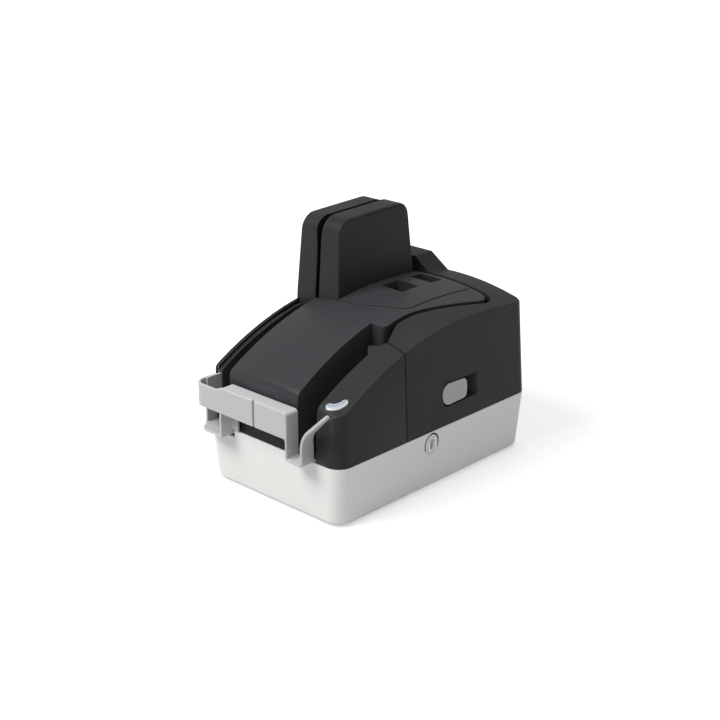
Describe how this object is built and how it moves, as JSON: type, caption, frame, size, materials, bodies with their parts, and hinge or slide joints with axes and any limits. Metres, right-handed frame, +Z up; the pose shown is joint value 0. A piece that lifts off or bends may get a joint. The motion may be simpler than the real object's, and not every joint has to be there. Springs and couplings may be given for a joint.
{
  "type": "cheque scanner",
  "caption": "Compact upright-feed document scanner with a U-shaped slot, hinged side cover, latch, lift-off lid, front sheet guides and driven rollers.",
  "frame": {"origin": "centre of the bounding box at the level of the feet's undersides", "axes": "+X to the right seen from the front, +Y to the rear, +Z up"},
  "size_m": [0.141, 0.2234, 0.1897],
  "materials": {
    "charcoal_cover": "fine spark texture",
    "tray_white": "fine spark texture",
    "guide_grey": "satin",
    "latch_grey": "satin",
    "black_liner": "gloss",
    "lens": "translucent gloss",
    "rubber": "matt",
    "black_plastic": "satin",
    "steel": "brushed",
    "bronze": "sintered",
    "circuit_board": "lacquered",
    "glass": "clear",
    "cork": "matt",
    "pinch_white": "satin"
  },
  "bodies": {
    "base": {"base_tray": "tray_white", "rubber_feet": "rubber", "base_screws": "steel", "main_board": "circuit_board", "power_inlet": "black_plastic", "usb_port": "steel", "switch_frame": "black_plastic", "path_deck": "black_plastic", "drive_motor": "steel", "timing_belt": "rubber", "shaft_bushes": "bronze", "shaft_plate": "steel", "plate_posts": "steel", "exit_pinch_spring": "steel", "island_cover": "charcoal_cover", "print_cartridge": "black_plastic", "cartridge_carrier": "black_plastic", "micr_head": "steel", "inner_wing": "charcoal_cover", "inner_sensor": "black_plastic", "inner_sensor_glass": "glass", "outer_wing": "charcoal_cover", "outer_sensor": "black_plastic", "outer_sensor_glass": "glass", "left_cover": "charcoal_cover", "exit_liner": "black_liner", "feed_cover": "charcoal_cover", "separation_pad": "cork", "status_lens": "lens", "status_board": "circuit_board", "front_guide": "guide_grey", "hinge_pin": "steel", "latch_keeper": "steel"},
    "power_rocker": {"power_rocker": "black_plastic"},
    "motor_shaft": {"motor_pulley": "steel"},
    "pick_roller": {"pick_roller": "rubber"},
    "feed_roller": {"feed_roller": "rubber"},
    "turn_roller": {"turn_roller": "rubber"},
    "rear_roller": {"rear_roller": "rubber"},
    "exit_roller": {"exit_roller": "rubber"},
    "jam_cover": {"jam_cover": "charcoal_cover", "pinch_brackets": "steel", "latch_pin": "steel", "latch_spring": "steel"},
    "retard_roller": {"retard_roller": "pinch_white"},
    "turn_pinch_roller": {"turn_pinch_roller": "pinch_white"},
    "rear_pinch_roller": {"rear_pinch_roller": "pinch_white"},
    "exit_pinch_roller": {"exit_pinch_roller": "pinch_white"},
    "latch_paddle": {"latch_paddle": "latch_grey"},
    "cartridge_cover": {"cartridge_cover": "charcoal_cover"},
    "pocket_extension": {"pocket_extension": "guide_grey"}
  },
  "joints": [
    {"name": "jam_cover_hinge", "type": "hinge", "parent": "base", "child": "jam_cover", "pos_m": [-0.061, 0.09375, 0.0815], "axis": [0, 0, 1], "range_deg": [0, 35]},
    {"name": "latch_pull", "type": "hinge", "parent": "jam_cover", "child": "latch_paddle", "pos_m": [0.06543, 0.01455, 0.0707], "axis": [0, 0, -1], "range_deg": [0, 12], "stiffness_Nm_per_rad": 0.05, "springref_deg": -5.73},
    {"name": "cartridge_cover_lift", "type": "slide", "parent": "base", "child": "cartridge_cover", "axis": [0, 0, 1], "range_m": [0, 0.06]},
    {"name": "pocket_extension_slide", "type": "slide", "parent": "base", "child": "pocket_extension", "axis": [0, -1, 0], "range_m": [0, 0.035]},
    {"name": "power_rocker_tilt", "type": "hinge", "parent": "base", "child": "power_rocker", "pos_m": [0.0155, 0.10525, 0.0195], "axis": [0, 0, 1], "range_deg": [0, 14]},
    {"name": "motor_spin", "type": "hinge", "parent": "base", "child": "motor_shaft", "pos_m": [-0.0165, -0.02925, 0.076], "axis": [0, 0, 1], "continuous": true},
    {"name": "pick_spin", "type": "hinge", "parent": "base", "child": "pick_roller", "pos_m": [0.02184, -0.04725, 0.076], "axis": [0, 0, 1], "continuous": true},
    {"name": "feed_spin", "type": "hinge", "parent": "base", "child": "feed_roller", "pos_m": [0.0291, -0.00475, 0.076], "axis": [0, 0, 1], "continuous": true},
    {"name": "turn_spin", "type": "hinge", "parent": "base", "child": "turn_roller", "pos_m": [0.03691, 0.03863, 0.076], "axis": [0, 0, 1], "continuous": true},
    {"name": "rear_spin", "type": "hinge", "parent": "base", "child": "rear_roller", "pos_m": [0.0135, 0.07575, 0.076], "axis": [0, 0, 1], "continuous": true},
    {"name": "exit_spin", "type": "hinge", "parent": "base", "child": "exit_roller", "pos_m": [-0.0369, 0.00675, 0.076], "axis": [0, 0, 1], "continuous": true},
    {"name": "retard_spin", "type": "hinge", "parent": "jam_cover", "child": "retard_roller", "pos_m": [0.0424, -0.00475, 0.076], "axis": [0, 0, 1], "continuous": true},
    {"name": "turn_pinch_spin", "type": "hinge", "parent": "jam_cover", "child": "turn_pinch_roller", "pos_m": [0.04975, 0.03516, 0.076], "axis": [0, 0, 1], "continuous": true},
    {"name": "rear_pinch_spin", "type": "hinge", "parent": "jam_cover", "child": "rear_pinch_roller", "pos_m": [0.0135, 0.08905, 0.076], "axis": [0, 0, 1], "continuous": true},
    {"name": "exit_pinch_spin", "type": "hinge", "parent": "base", "child": "exit_pinch_roller", "pos_m": [-0.0492, 0.00675, 0.076], "axis": [0, 0, 1], "continuous": true}
  ],
  "couplings": [
    {"joint": "motor_spin", "follows": "feed_spin", "ratio": 1},
    {"joint": "pick_spin", "follows": "feed_spin", "ratio": 1},
    {"joint": "turn_spin", "follows": "feed_spin", "ratio": 1},
    {"joint": "rear_spin", "follows": "feed_spin", "ratio": 1},
    {"joint": "exit_spin", "follows": "feed_spin", "ratio": 1},
    {"joint": "retard_spin", "follows": "feed_spin", "ratio": -1.6},
    {"joint": "turn_pinch_spin", "follows": "feed_spin", "ratio": -1.6},
    {"joint": "rear_pinch_spin", "follows": "feed_spin", "ratio": -1.6},
    {"joint": "exit_pinch_spin", "follows": "feed_spin", "ratio": -2}
  ]
}
